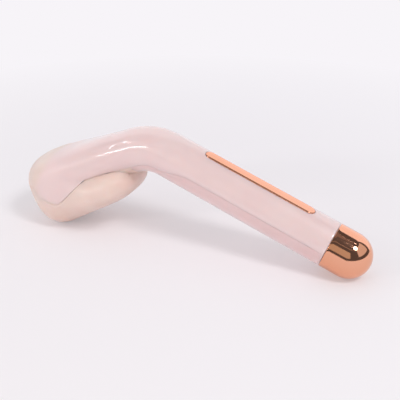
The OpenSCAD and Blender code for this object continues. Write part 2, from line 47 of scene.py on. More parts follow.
class Value:
    # a socket that Python's own operators add Math nodes to
    def __init__(self, finish, socket):
        self.finish = finish
        self.socket = socket

    def math(self, operation, first, second):
        made = self.finish.node("ShaderNodeMath", {"operation": operation}, {0: first, 1: second})
        return Value(self.finish, made.outputs[0])

    def __add__(self, other):
        return self.math("ADD", self, other)

    def __radd__(self, other):
        return self.math("ADD", other, self)

    def __mul__(self, other):
        return self.math("MULTIPLY", self, other)

    def __rmul__(self, other):
        return self.math("MULTIPLY", other, self)


# The Mix node's sockets for colours, among those for its other kinds of data
mixSockets = {"factor": 0, "first": 6, "second": 7, "result": 2}


class Finish:
    # one material, or the world, with its nodes and its main shader
    def __init__(self, name, shading=None, world=None):
        self.material = world or bpy.data.materials.new(name)
        self.material.use_nodes = True
        self.tree = self.material.node_tree
        self.tree.nodes.clear()
        self.shader = self.node("ShaderNodeBackground" if world else "ShaderNodeBsdfPrincipled", {}, shading)
        self.output = self.node("ShaderNodeOutputWorld" if world else "ShaderNodeOutputMaterial")
        self.tree.links.new(self.shader.outputs[0], self.output.inputs[0])

    def node(self, kind, settings=None, sockets=None):
        made = self.tree.nodes.new(kind)
        for name, value in (settings or {}).items():
            setattr(made, name, value)
        for name, value in (sockets or {}).items():
            self.put(made.inputs[name], value)
        return made

    def put(self, socket, value):
        if isinstance(value, Value):
            value = value.socket
        if isinstance(value, bpy.types.NodeSocket):
            self.tree.links.new(value, socket)
        else:
            socket.default_value = value

    def set(self, name, value):
        self.put(self.shader.inputs[name], value)

    def place(self, scale=(1, 1, 1)):
        where = self.node("ShaderNodeTexCoord")
        return self.node("ShaderNodeMapping", {}, {"Vector": where.outputs["Object"],
                                                  "Scale": scale}).outputs[0]

    def noise(self, size, detail=3.0, rough=0.5, stretch=(1, 1, 1)):
        made = self.node("ShaderNodeTexNoise", {}, {
            "Vector": self.place(stretch), "Scale": 1 / size, "Detail": detail, "Roughness": rough})
        return Value(self, made.outputs["Fac"])

    def spread(self, value, low, high, fromLow=0.3, fromHigh=0.7):
        made = self.node("ShaderNodeMapRange", {"clamp": True}, {
            "Value": value, "From Min": fromLow, "From Max": fromHigh, "To Min": low, "To Max": high})
        return Value(self, made.outputs[0])

    def blend(self, factor, first, second):
        made = self.node("ShaderNodeMix", {"data_type": "RGBA"}, {
            mixSockets["factor"]: factor, mixSockets["first"]: first, mixSockets["second"]: second})
        return made.outputs[mixSockets["result"]]

    def attribute(self, name):
        return Value(self, self.node("ShaderNodeAttribute", {"attribute_name": name}).outputs["Fac"])

    def bump(self, height, depth):
        made = self.node("ShaderNodeBump", {}, {"Height": height, "Distance": depth})
        self.set("Normal", made.outputs[0])


def srgb(red, green, blue):
    # a screen colour, 0 to 255, as the linear colour that shaders take
    return tuple((c / 255 / 12.92 if c <= 10 else ((c / 255 + 0.055) / 1.055) ** 2.4)
                 for c in (red, green, blue)) + (1.0,)


# The wand's form in millimetres, as in the part's source but for the heel's start and the two drops
wand = {"handleR": 10.0, "handleLen": 88.0, "bendTurn": 44.5, "bendR": 23.0, "wall": 1.5,
        "headLen": 69.0, "tipWidth": 37.6, "heelWidth": 33.4, "backRise": 10.8, "tipDrop": 23.2,
        "heelDrop": 17.8, "heelX": 12.0, "tipTopR": 14.5, "tipLowR": 15.5, "heelR": 10.9,
        "lipDrop": 5.3, "bendDrop": 3.6, "padWall": 2.2, "capStraight": 8.8, "splitRun": 14.0}
handleR = wand["handleR"]
turn = math.radians(wand["bendTurn"])
tangent = wand["bendR"] * math.tan(turn / 2)
domeX = wand["handleLen"] + wand["capStraight"]
restX = wand["headLen"] - wand["tipLowR"]
restZ = wand["tipLowR"] - wand["tipDrop"]
lieC = restX * math.sin(turn) - restZ * math.cos(turn)
lieS = -restX * math.cos(turn) - restZ * math.sin(turn) - domeX
handleSlope = math.atan2(lieS, lieC) + math.acos((handleR - wand["tipLowR"]) / math.hypot(lieC, lieS))
headSlope = turn - handleSlope
tipReach = ((wand["headLen"] - wand["tipTopR"]) * math.cos(headSlope)
            + (wand["backRise"] - wand["tipTopR"]) * math.sin(headSlope) + wand["tipTopR"])
bendX = (tipReach - domeX * math.cos(handleSlope) - handleR) / 2
bendZ = domeX * math.sin(handleSlope) + handleR


def smooth(t):
    t = np.clip(t, 0, 1)
    return t * t * (3 - 2 * t)


def between(a, b, t):
    return a + (b - a) * t


def rounding(d, r, least=0.0004):
    # share of a width that is left at a distance from a rounded end
    return np.where(d >= r, 1, np.sqrt(np.maximum(1 - ((r - d) / r) ** 2, least)))


def edgeDrop(d, r):
    # how far a rounded edge has fallen at a distance from the end
    return np.where(d >= r, 0, r - np.sqrt(np.maximum(r * r - (r - d) ** 2, 0)))


# The head in its own frame: X from the bend to the tip, Z from the face to the back
head = {"flareStart": tangent + 2, "flareEnd": 47.0, "backEnd": 65.0, "backInset": 0.3, "backLowR": 8.0,
        "sideInset": 1.0, "shoulderRise": 28.0, "shoulderTop": 50.0, "shoulderZ": -4.0, "planR": 18.2,
        "power": 2.7, "blend": 12.0, "saddleX": 9.5, "saddleRun": 8.0, "saddle": 0.3,
        "axisDrop": 3.5, "axisDropRun": 5.0, "axisFaceX": 36.0, "axisFaceRun": 16.0, "fanX": 52.0,
        "fanShare": 0.3, "farOut": 45.0, "halvings": 26, "noPad": 99,
        "milkRun": 7.0, "crispEnd": 54.0, "satinStart": 30.0, "satinRun": 14.0}


def padLow(x):
    ramp = np.clip((x - wand["heelX"]) / (restX - wand["heelX"]), 0, 1)
    return (-wand["heelDrop"] - (wand["tipDrop"] - wand["heelDrop"]) * ramp
            + edgeDrop(wand["headLen"] - x, wand["tipLowR"]))


def padHigh(x):
    rise = smooth((x - head["shoulderRise"]) / (head["shoulderTop"] - head["shoulderRise"]))
    return (between(head["shoulderZ"], wand["backRise"], rise)
            - edgeDrop(wand["headLen"] - x, wand["tipTopR"]))


def oval(y, z, w, low, high, power, least=0.01):
    # below 0 inside an oval section, above 0 outside it
    return (np.abs(y) / np.maximum(w, least)) ** power + (
        np.abs(2 * z - high - low) / np.maximum(high - low, least)) ** power - 1


def saddleDip(x):
    return head["saddle"] * np.exp(-((x - head["saddleX"]) / head["saddleRun"]) ** 2)


def headForm(x, y, z):
    # the pink back and the warm pad, run together: below 0 inside, above 0 outside
    flare = smooth((x - head["flareStart"]) / (head["flareEnd"] - head["flareStart"]))
    z = z + saddleDip(x) * np.clip(z / handleR, 0, 1) ** 3
    fromEnd = head["backEnd"] - x
    backHigh = (between(handleR, wand["backRise"] - head["backInset"], flare)
                - edgeDrop(fromEnd, wand["tipTopR"]))
    backLow = edgeDrop(fromEnd, head["backLowR"]) - handleR
    half = (between(handleR, wand["tipWidth"] / 2 - head["sideInset"], flare)
            * rounding(fromEnd, head["planR"]))
    back = oval(y, z, half, backLow, backHigh, between(2, head["power"], flare))
    heel = rounding(x - wand["heelX"], wand["heelR"])
    keen = np.minimum(rounding(wand["headLen"] - x, head["planR"]), heel)
    low, high = padLow(x), padHigh(x)
    mid = (low + high) / 2
    wide = between(wand["heelWidth"], wand["tipWidth"],
                   smooth((x - wand["heelX"]) / (head["flareEnd"] - wand["heelX"]))) / 2
    pad = np.where((x < wand["heelX"]) | (x > wand["headLen"]), head["noPad"],
                   oval(y, z, wide * keen, mid + (low - mid) * heel, mid + (high - mid) * heel,
                        head["power"]))
    sharp = head["blend"]
    least = np.minimum(back, pad)
    return least - np.log(np.exp(-sharp * (back - least)) + np.exp(-sharp * (pad - least))) / sharp


def axisZ(x):
    neck = between(0, -head["axisDrop"], smooth((x - tangent) / head["axisDropRun"]))
    return between(neck, (padLow(head["fanX"]) + padHigh(head["fanX"])) / 2,
                   smooth((x - head["axisFaceX"]) / head["axisFaceRun"]))


def halved(near, far, formAt):
    # closes in on the place between near and far where the form ends
    for _ in range(head["halvings"]):
        middle = (near + far) / 2
        outside = formAt(middle) > 0
        near, far = np.where(outside, near, middle), np.where(outside, middle, far)
    return near


# The head's skin on a disc: 1 at the rim is the start of the neck, 0 the middle of the nose
def skinPoint(radius, angle, side):
    radius, angle, side = np.broadcast_arrays(radius, angle, side)
    fanShare = head["fanShare"]
    onAxis = radius >= fanShare
    x = np.where(onAxis, between(head["fanX"], tangent, (radius - fanShare) / (1 - fanShare)),
                 head["fanX"])
    lift = np.where(onAxis, 0, (1 - radius / fanShare) * math.pi / 2)
    z = axisZ(x)
    alongX = np.sin(lift)
    alongY = np.cos(lift) * np.cos(angle)
    alongZ = np.cos(lift) * np.sin(angle)
    reach = halved(np.zeros_like(alongX), np.full_like(alongX, head["farOut"]),
                   lambda out: headForm(x + out * alongX, out * alongY, z + out * alongZ))
    return np.stack([x + reach * alongX, side * reach * alongY, z + reach * alongZ], -1)


def skinPlace(x, y, z):
    inFan = x > head["fanX"]
    fromAxis = np.hypot(y, z - axisZ(head["fanX"]))
    lift = np.arctan2(np.maximum(x - head["fanX"], 0), fromAxis)
    radius = np.where(inFan, head["fanShare"] * (1 - lift / (math.pi / 2)),
                      between(head["fanShare"], 1, (head["fanX"] - x) / (head["fanX"] - tangent)))
    angle = np.arctan2(z - axisZ(np.minimum(x, head["fanX"])), y)
    return radius, angle


def headToRow(points):
    # from the head's frame in millimetres to the scene's in metres
    x, y, z = points[..., 0], points[..., 1], points[..., 2]
    return np.stack([bendX - x * math.cos(headSlope) - z * math.sin(headSlope), y,
                     bendZ - x * math.sin(headSlope) + z * math.cos(headSlope)], -1) * mm


def handleToRow(points):
    # from the handle's frame, X along it and Z to its top, to the scene's
    x, y, z = points[..., 0], points[..., 1], points[..., 2]
    return np.stack([bendX + x * math.cos(handleSlope) + z * math.sin(handleSlope), y,
                     bendZ - x * math.sin(handleSlope) + z * math.cos(handleSlope)], -1) * mm


def rowToHead(points):
    x, z = points[..., 0] / mm - bendX, points[..., 2] / mm - bendZ
    return np.stack([-x * math.cos(headSlope) - z * math.sin(headSlope), points[..., 1] / mm,
                     z * math.cos(headSlope) - x * math.sin(headSlope)], -1)


def curvePoint(points, t):
    # a point on the smooth curve that passes through all the points
    i = min(int(t), len(points) - 2)
    t -= i
    a, b, c, d = (np.array(points[max(0, min(len(points) - 1, k))], float)
                  for k in (i - 1, i, i + 1, i + 2))
    return 0.5 * (2 * b + (c - a) * t + (2 * a - 5 * b + 4 * c - d) * t * t
                  + (3 * b - a - 3 * c + d) * t ** 3)


# Edge of the pink back seen from the side: lip, dip on the flank, climb round the tip
edgeLine = [(tangent - 3, -5.3), (tangent + 3, -5.3), (17, -5.0), (22, -4.5), (27, -4.2), (30.8, -4.1),
            (32.4, -4.4), (34.2, -5.2), (40.4, -8.0), (45, -9.9), (48.5, -10.3), (51.3, -8.6),
            (54.2, -7.0), (57.5, -4.8), (59.7, -1.3), (60.2, 3), (58.5, 6.6), (55.5, 10), (53, 14)]
# The milky pad covers the tip from here on: height and place along the head
milkLine = [(-10, 49.5), (-8.6, 51.3), (-6.6, 53.8), (-4.5, 55.4), (-1, 55.5), (2.5, 53.3),
            (4.9, 50.8), (5.8, 48.8), (7.4, 47.5), (9.3, 46.5), (10.4, 45.9)]


def milkiness(points):
    # 0 where the pink core shows, 1 where the milky pad hides it, half way on the line
    place = rowToHead(points)
    start = np.interp(place[..., 2], *zip(*milkLine))
    return smooth((place[..., 0] - start) / head["milkRun"] + 0.5)


# Stations along the edge, closer together where the heel of the pad begins
lip = {"samples": 900, "endShort": 1.001, "farSide": 30.0, "stations": 120, "heelSamples": 60,
       "heelRun": 3.2, "heelStations": 14, "heelClear": 0.3}


def edgeStations():
    fine = np.array([curvePoint(edgeLine, t)
                     for t in np.linspace(0, len(edgeLine) - lip["endShort"], lip["samples"])])
    fine = fine[fine[:, 0] >= tangent]
    fine[0, 0] = tangent
    inside = headForm(fine[:, 0], np.zeros(len(fine)), fine[:, 1]) < 0
    last = np.nonzero(~inside)[0][0] if (~inside).any() else len(fine)
    fine = fine[:last]
    half = halved(np.zeros(last), np.full(last, lip["farSide"]),
                  lambda out: headForm(fine[:, 0], out, fine[:, 1]))
    points = np.stack([fine[:, 0], half, fine[:, 1]], -1)
    run = np.concatenate([[0], np.cumsum(np.linalg.norm(np.diff(points, axis=0), axis=1))])
    heelRun = np.interp(wand["heelX"], points[:, 0][:lip["heelSamples"]], run[:lip["heelSamples"]])
    spots = np.linspace(0, run[-1], lip["stations"])
    extra = heelRun + lip["heelRun"] * np.linspace(0, 1, lip["heelStations"]) ** 2
    spots = np.unique(np.concatenate([spots[spots < heelRun], extra,
                                      spots[spots > extra[-1] + lip["heelClear"]]]))
    return np.stack([np.interp(spots, run, points[:, k]) for k in range(3)], -1), spots / run[-1]


weldGap = 0.000004
sharpAngle = math.radians(50)


def nothingSelected():
    if bpy.context.object and bpy.context.object.mode != "OBJECT":
        bpy.ops.object.mode_set(mode="OBJECT")
    bpy.ops.object.select_all(action="DESELECT")


def onlyPicked(piece):
    nothingSelected()
    piece.select_set(True)
    bpy.context.view_layer.objects.active = piece


def wrapped(name, points):
    # a grid laid over rows of points
    nothingSelected()
    rows, columns = points.shape[:2]
    bpy.ops.mesh.primitive_grid_add(x_subdivisions=columns - 1, y_subdivisions=rows - 1, size=1)
    piece = bpy.context.object
    piece.name = name
    piece.data.name = name
    piece.data.vertices.foreach_set("co", points.reshape(-1))
    piece.data.update()
    bpy.ops.object.mode_set(mode="EDIT")
    bpy.ops.mesh.select_all(action="SELECT")
    bpy.ops.mesh.remove_doubles(threshold=weldGap)
    bpy.ops.mesh.normals_make_consistent(inside=False)
    bpy.ops.object.mode_set(mode="OBJECT")
    return piece


def outward(piece, inner):
    # turns the piece's faces away from a point inside it
    total = sum((f.center - Vector(inner)).dot(f.normal) * f.area for f in piece.data.polygons)
    if total < 0:
        onlyPicked(piece)
        bpy.ops.object.mode_set(mode="EDIT")
        bpy.ops.mesh.select_all(action="SELECT")
        bpy.ops.mesh.flip_normals()
        bpy.ops.object.mode_set(mode="OBJECT")


def applied(piece, kind, **settings):
    onlyPicked(piece)
    modifier = piece.modifiers.new(kind.lower(), kind)
    for name, value in settings.items():
        setattr(modifier, name, value)
    bpy.ops.object.modifier_apply(modifier=modifier.name)


def rimmed(piece, width, segments, last=math.inf):
    # rounds the sharp edges, up to a place along the head
    mesh = bmesh.new()
    mesh.from_mesh(piece.data)
    weight = mesh.edges.layers.float.new("bevel_weight_edge")
    for edge in mesh.edges:
        middle = np.array((edge.verts[0].co + edge.verts[1].co) / 2)
        if edge.calc_face_angle(0) > sharpAngle and rowToHead(middle)[0] < last:
            edge[weight] = 1
    mesh.to_mesh(piece.data)
    mesh.free()
    applied(piece, "BEVEL", width=width * mm, segments=segments, limit_method="WEIGHT")


def painted(piece, name, values):
    # one number for each vertex, which a material can read
    layer = piece.data.attributes.new(name, "FLOAT", "POINT")
    layer.data.foreach_set("value", np.asarray(values, float))


def cornersOf(piece):
    points = np.empty(len(piece.data.vertices) * 3)
    piece.data.vertices.foreach_get("co", points)
    return points.reshape(-1, 3)


def smoothShaded(piece, angle):
    onlyPicked(piece)
    bpy.ops.object.shade_smooth_by_angle(angle=math.radians(angle))


def dressed(piece, finish):
    piece.data.materials.clear()
    piece.data.materials.append(finish.material)


# The shells' walls are a tenth thinner than the solids', which leaves the pieces inside clear of them
casing = {"columns": 120, "handleStep": 1.1, "bendStations": 22, "squareShare": 0.8, "rowEase": 1.5,
          "wall": wand["wall"] - 0.1, "rim": 0.28, "rimSegments": 3, "innerShift": 4, "smoothTo": 35}

edge, edgeShare = edgeStations()
edgeRadius, edgeAngle = skinPlace(edge[:, 0], edge[:, 1], edge[:, 2])
edgeRadius[0] = 1.0


def tubePoints(angles):
    # rows round the handle and the bend; angles(split) spreads a row's points
    rows = []
    for x in np.linspace(wand["handleLen"], tangent,
                         int((wand["handleLen"] - tangent) / casing["handleStep"])):
        a = angles(math.asin(-wand["bendDrop"] / handleR
                             * (1 - smooth((x - tangent) / wand["splitRun"]))))
        rows.append(handleToRow(np.stack([np.full_like(a, x), handleR * np.cos(a),
                                          handleR * np.sin(a)], -1)))
    for bend in np.linspace(0, turn, casing["bendStations"])[1:]:
        drop = between(wand["bendDrop"], wand["lipDrop"], smooth(bend / turn))
        a = angles(math.asin(-drop / handleR))
        dip = saddleDip(tangent - wand["bendR"] * (turn - bend)) * np.maximum(np.sin(a), 0) ** 3
        out = wand["bendR"] + (handleR - dip) * np.sin(a)
        rows.append(handleToRow(np.stack([tangent - out * math.sin(bend), handleR * np.cos(a),
                                          out * math.cos(bend) - wand["bendR"]], -1)))
    return np.array(rows)


columns = np.linspace(-1, 1, casing["columns"] + 1)


def overTop(split):
    return math.pi / 2 - columns * (math.pi / 2 - split)


def underneath(split):
    return -math.pi / 2 + columns * (math.pi / 2 + split)


upperTube = tubePoints(overTop)
ridgeRadius = np.interp(edgeShare, [0, 1], [1.0, edgeRadius[-1]])
# near the neck the rows stand square to the middle line
ridgeRadius = between(edgeRadius, ridgeRadius, smooth(edgeShare / casing["squareShare"]))
ridgeRadius = np.minimum.accumulate(ridgeRadius)
radiusGrid = between(ridgeRadius[:, None], edgeRadius[:, None],
                     np.abs(columns)[None, :] ** casing["rowEase"])
angleGrid = between(math.pi / 2, edgeAngle[:, None], np.abs(columns)[None, :])
backRows = headToRow(skinPoint(radiusGrid, angleGrid, np.where(columns < 0, -1.0, 1.0)[None, :]))

casingUpper = wrapped("casingUpper", np.concatenate([upperTube, backRows[1:]]))
casingLower = wrapped("casingLower", tubePoints(underneath))
for piece, shift, last in ((casingUpper, -casing["innerShift"], head["crispEnd"]),
                           (casingLower, casing["innerShift"], math.inf)):
    outward(piece, Vector((bendX, 0, bendZ + shift)) * mm)
    applied(piece, "SOLIDIFY", thickness=casing["wall"] * mm, offset=-1, use_even_offset=True)
    rimmed(piece, casing["rim"], casing["rimSegments"], last)
print("casing: upper and lower shell made")


pad = {"columns": 130, "neckShare": 0.33, "flatStart": 0.05, "flatRun": 0.4, "middle": (40.0, 0.0, -6.0),
       "lipDepth": 0.45, "lipRun": 1.5, "crispLead": 3.0, "crispRun": 4.0, "rim": 0.2, "rimSegments": 2,
       "tiny": 1e-9}

padColumns = np.linspace(-1, 1, pad["columns"] + 1)
toKeel = 1 - np.abs(padColumns)[None, :]
# the middle line runs down the heel, along the face, round the nose and up to the back
faceShare = np.clip((edgeShare - pad["neckShare"]) / (1 - pad["neckShare"]), 0, 1)
keelY = np.where(edgeShare < pad["neckShare"], -edgeRadius,
                 between(-np.interp(pad["neckShare"], edgeShare, edgeRadius), edgeRadius[-1], faceShare))
polarRadius = between(edgeRadius[:, None], np.abs(keelY)[:, None], toKeel)
polarAngle = between(edgeAngle[:, None], -math.pi / 2, toKeel)
discX = between((edgeRadius * np.cos(edgeAngle))[:, None], 0, toKeel)
discY = between((edgeRadius * np.sin(edgeAngle))[:, None], keelY[:, None], toKeel)
flat = smooth((edgeShare - pad["flatStart"]) / pad["flatRun"])[:, None]
discX = between(polarRadius * np.cos(polarAngle), discX, flat)
discY = between(polarRadius * np.sin(polarAngle), discY, flat)
padSkin = skinPoint(np.hypot(discX, discY), np.arctan2(discY, discX),
                    np.where(padColumns < 0, 1.0, -1.0)[None, :])
lean = np.cross(np.gradient(padSkin, axis=0), np.gradient(padSkin, axis=1))
lean /= np.maximum(np.linalg.norm(lean, axis=-1, keepdims=True), pad["tiny"])
lean *= np.sign(np.sum(lean * (padSkin - np.array(pad["middle"])), -1, keepdims=True))
# the pad sinks under the lip of the pink back, as far as that lip is crisp
fromEdge = np.linalg.norm(padSkin - np.where(padColumns[None, :, None] < 0, padSkin[:, :1],
                                             padSkin[:, -1:]), axis=-1)
crisp = 1 - smooth((edge[:, 0] - head["crispEnd"] + pad["crispLead"]) / pad["crispRun"])[:, None]
sink = pad["lipDepth"] * (1 - smooth(fromEdge / pad["lipRun"])) * crisp
padSkin = padSkin - lean * sink[..., None]

warmPad = wrapped("warmPad", headToRow(padSkin))
outward(warmPad, headToRow(np.array(pad["middle"])))
applied(warmPad, "SOLIDIFY", thickness=wand["padWall"] * mm, offset=-1, use_even_offset=False)
rimmed(warmPad, pad["rim"], pad["rimSegments"], head["crispEnd"])
print("pad made")


# The key in the handle's frame: start along the handle, heights above its middle line
key = {"length": 52.2, "width": 5.2, "start": 24.3, "top": 10.12, "low": 7.45, "rim": 0.42,
       "rimSegments": 4, "sides": 64, "gap": 0.22, "cutLow": 4.0, "cutHigh": 14.0, "flangeWidth": 7.6,
       "flangeLength": 53.4, "flangeLow": 6.65, "stemD": 3.0, "stemLow": 5.9, "stemSides": 48,
       "stemRim": 0.1, "stemRimSegments": 2, "pastMiddle": 0.001, "smoothTo": 30}


def turned(piece, frameToRow):
    # takes a piece from its own frame to the scene's
    piece.data.vertices.foreach_set("co", frameToRow(cornersOf(piece)).reshape(-1))
    piece.data.update()


def drum(name, diameter, low, high, sides):
    # an upright cylinder in millimetres
    nothingSelected()
    bpy.ops.mesh.primitive_cylinder_add(vertices=sides, radius=diameter / 2, depth=high - low,
                                        location=(0, 0, (low + high) / 2))
    made = bpy.context.object
    made.name = name
    made.data.name = name
    bpy.ops.object.transform_apply(location=True, rotation=True, scale=True)
    return made


def barWithRoundEnds(name, length, width, low, high):
    # a cylinder pulled apart along X
    bar = drum(name, width, low, high, key["sides"])
    bpy.ops.object.mode_set(mode="EDIT")
    mesh = bmesh.from_edit_mesh(bar.data)
    for side in (1, -1):
        bpy.ops.mesh.select_all(action="DESELECT")
        for vertex in mesh.verts:
            vertex.select = side * vertex.co.x > key["pastMiddle"]
        mesh.select_flush_mode()
        bpy.ops.transform.translate(value=(side * (length - width) / 2, 0, 0))
    bpy.ops.object.mode_set(mode="OBJECT")
    return bar


def setInHandle(piece, along):
    for vertex in piece.data.vertices:
        vertex.co.x += along
    turned(piece, handleToRow)


keyMid = key["start"] + key["length"] / 2
slotCutter = barWithRoundEnds("slotCutter", key["length"] + 2 * key["gap"], key["width"] + 2 * key["gap"],
                              key["cutLow"], key["cutHigh"])
setInHandle(slotCutter, keyMid)
applied(casingUpper, "BOOLEAN", operation="DIFFERENCE", object=slotCutter, solver="EXACT")
bpy.data.objects.remove(slotCutter)

pressKey = barWithRoundEnds("pressKey", key["length"], key["width"], key["low"], key["top"])
applied(pressKey, "BEVEL", width=key["rim"], segments=key["rimSegments"], limit_method="ANGLE",
        angle_limit=sharpAngle)
keyFlange = barWithRoundEnds("keyFlange", key["flangeLength"], key["flangeWidth"],
                             key["flangeLow"], key["low"])
keyStem = drum("keyStem", key["stemD"], key["stemLow"], key["flangeLow"], key["stemSides"])
applied(keyStem, "BEVEL", width=key["stemRim"], segments=key["stemRimSegments"], limit_method="ANGLE")
nothingSelected()
for part in (keyFlange, keyStem, pressKey):
    part.select_set(True)
bpy.context.view_layer.objects.active = pressKey
bpy.ops.object.join()
setInHandle(pressKey, keyMid)
print("key made")


cap = {"start": 88.15, "dome": domeX, "radius": 10.0, "bore": 9.1, "boreEnd": 97.4, "chamfer": 0.1,
       "wall": 1.4, "rim": 0.22, "rimSteps": 3, "straightSteps": 10, "domeSteps": 40, "innerSteps": 16,
       "sides": 128, "weld": 0.001, "smoothTo": 35}


def quarter(steps):
    return [math.pi / 2 * k / steps for k in range(steps + 1)]


def capProfile():
    # the cap's wall cut through: place along the handle, distance from its middle line
    start, dome, radius, rim = cap["start"], cap["dome"], cap["radius"], cap["rim"]
    points = [(start + rim * (1 - math.sin(a)), radius - rim * (1 - math.cos(a)))
              for a in quarter(cap["rimSteps"])][::-1]
    points += [(between(start + rim, dome, k / cap["straightSteps"]), radius)
               for k in range(1, cap["straightSteps"])]
    points += [(dome + radius * math.sin(a), radius * math.cos(a)) for a in quarter(cap["domeSteps"])]
    inner = radius - cap["wall"]
    points += [(dome + inner * math.cos(a), inner * math.sin(a)) for a in quarter(cap["innerSteps"])]
    points += [(cap["boreEnd"], inner), (cap["boreEnd"], cap["bore"]),
               (start + cap["chamfer"], cap["bore"]), (start, cap["bore"] + cap["chamfer"])]
    return points


def spun(name, profile, sides, weld):
    # a chain of edges turned about the X axis
    mesh = bpy.data.meshes.new(name)
    piece = bpy.data.objects.new(name, mesh)
    bpy.context.scene.collection.objects.link(piece)
    mesh.from_pydata([(x, 0, r) for x, r in profile],
                     [(k, (k + 1) % len(profile)) for k in range(len(profile))], [])
    onlyPicked(piece)
    bpy.ops.object.mode_set(mode="EDIT")
    bpy.ops.mesh.select_all(action="SELECT")
    bpy.ops.mesh.spin(steps=sides, angle=2 * math.pi, center=(0, 0, 0), axis=(1, 0, 0))
    bpy.ops.mesh.select_all(action="SELECT")
    bpy.ops.mesh.remove_doubles(threshold=weld)
    bpy.ops.mesh.normals_make_consistent(inside=False)
    bpy.ops.object.mode_set(mode="OBJECT")
    return piece


domeCap = spun("domeCap", capProfile(), cap["sides"], cap["weld"])
turned(domeCap, handleToRow)
for piece, angle in ((casingUpper, casing["smoothTo"]), (casingLower, casing["smoothTo"]),
                     (warmPad, casing["smoothTo"]), (pressKey, key["smoothTo"]),
                     (domeCap, cap["smoothTo"])):
    smoothShaded(piece, angle)
print("cap made")


# In the looks below, sizes are in metres: patch is the size of the patches of two near colours,
# glossPatch that of the uneven gloss, grain that of the fine grain, and depth the grain's depth
def mottled(finish, patch, first, second):
    return finish.blend(finish.spread(finish.noise(patch, detail=2.0), 0, 1), first, second)


def glossed(finish, look):
    return finish.spread(finish.noise(look["glossPatch"]), look["rough"],
                         look["rough"] + look["roughSpread"])


def grained(finish, look):
    finish.set("Roughness", glossed(finish, look))
    finish.bump(finish.noise(look["grain"], detail=4.0), look["depth"])


def plainFinish(name, look):
    made = Finish(name, look.get("shading"))
    made.set("Base Color", mottled(made, look["patch"], look["first"], look["second"]))
    grained(made, look)
    return made


milk = {"first": srgb(237, 210, 200), "second": srgb(232, 202, 190), "patch": 0.012}
shellLook = {"patch": 0.018, "rough": 0.3, "roughSpread": 0.06, "glossPatch": 0.004, "milkRough": 0.42,
             "coat": 0.75, "milkCoat": 0.05, "grain": 0.0011, "depth": 0.000008,
             "shading": {"Coat Roughness": 0.06, "Subsurface Weight": 0.35, "Subsurface Scale": 0.005,
                         "Subsurface Radius": (1.0, 0.6, 0.5), "Sheen Weight": 0.3,
                         "Sheen Roughness": 0.45}}


def shellFinish(name, first, second):
    # glossy pink that turns milky, then satin, where the painted values rise
    shell = Finish(name, shellLook["shading"])
    milky = shell.attribute("milk")
    satin = shell.attribute("satin")
    pink = mottled(shell, shellLook["patch"], first, second)
    cream = mottled(shell, milk["patch"], milk["first"], milk["second"])
    shell.set("Base Color", shell.blend(milky, pink, cream))
    shell.set("Roughness", glossed(shell, shellLook) + satin * (shellLook["milkRough"] - shellLook["rough"]))
    shell.set("Coat Weight", shellLook["coat"] + satin * (shellLook["milkCoat"] - shellLook["coat"]))
    shell.bump(shell.noise(shellLook["grain"], detail=4.0), shellLook["depth"])
    return shell


filmLook = {"first": srgb(196, 122, 44), "second": srgb(150, 84, 36), "bands": 160.0, "waver": 0.6,
            "bandLow": 0.55, "bandHigh": 0.75, "rough": 0.3, "roughSpread": 0.1, "glossPatch": 0.004,
            "grain": 0.0006, "depth": 0.00001, "shading": {"Coat Weight": 0.4, "Coat Roughness": 0.1}}


def filmFinish():
    # amber film with the bands of its heating foil
    film = Finish("amberFilm", filmLook["shading"])
    foil = film.node("ShaderNodeTexWave", {"wave_type": "BANDS", "bands_direction": "Y"}, {
        "Vector": film.place(), "Scale": filmLook["bands"], "Distortion": filmLook["waver"]})
    banded = film.spread(foil.outputs["Fac"], 0, 1, filmLook["bandLow"], filmLook["bandHigh"])
    film.set("Base Color", film.blend(banded, filmLook["first"], filmLook["second"]))
    grained(film, filmLook)
    return film


foamLook = {"first": srgb(238, 237, 232), "second": srgb(226, 224, 218), "patch": 0.004,
            "cells": 1400.0, "depth": 0.0002, "shading": {"Roughness": 0.9}}


def foamFinish():
    foam = Finish("whiteFoam", foamLook["shading"])
    cells = foam.node("ShaderNodeTexVoronoi", {"feature": "F1"}, {
        "Vector": foam.place(), "Scale": foamLook["cells"]})
    foam.set("Base Color", mottled(foam, foamLook["patch"], foamLook["first"], foamLook["second"]))
    foam.bump(cells.outputs["Distance"], foamLook["depth"])
    return foam


steelLook = {"first": srgb(206, 206, 208), "second": srgb(184, 185, 188), "patch": 0.004,
             "shine": 0.2, "dull": 0.38, "lines": 0.0006, "grain": 0.0004, "ragged": 0.6,
             "drawn": (0.1, 1, 1), "depth": 0.000006, "shading": {"Metallic": 1.0}}


def steelFinish():
    # fine lines along X in the gloss and in the surface
    steel = Finish("drawnSteel", steelLook["shading"])
    steel.set("Base Color", mottled(steel, steelLook["patch"], steelLook["first"], steelLook["second"]))
    lines = steel.noise(steelLook["lines"], rough=steelLook["ragged"], stretch=steelLook["drawn"])
    steel.set("Roughness", steel.spread(lines, steelLook["shine"], steelLook["dull"]))
    steel.bump(steel.noise(steelLook["grain"], rough=steelLook["ragged"], stretch=steelLook["drawn"]),
               steelLook["depth"])
    return steel


boardLook = {"mask": srgb(24, 96, 58), "maskToo": srgb(30, 108, 64), "track": srgb(52, 134, 84),
             "cells": 300.0, "trackWidth": 0.06, "stagger": 0.5, "rough": 0.28, "roughSpread": 0.12,
             "glossPatch": 0.003, "grain": 0.0008, "depth": 0.00002,
             "shading": {"Coat Weight": 0.5, "Coat Roughness": 0.12}}


def boardFinish():
    # green mask with paler tracks
    board = Finish("solderMask", boardLook["shading"])
    tracks = board.node("ShaderNodeTexBrick", {"offset": boardLook["stagger"]}, {
        "Vector": board.place(), "Scale": boardLook["cells"], "Mortar Size": boardLook["trackWidth"],
        "Color1": boardLook["mask"], "Color2": boardLook["maskToo"], "Mortar": boardLook["track"]})
    board.set("Base Color", tracks.outputs["Color"])
    grained(board, boardLook)
    return board


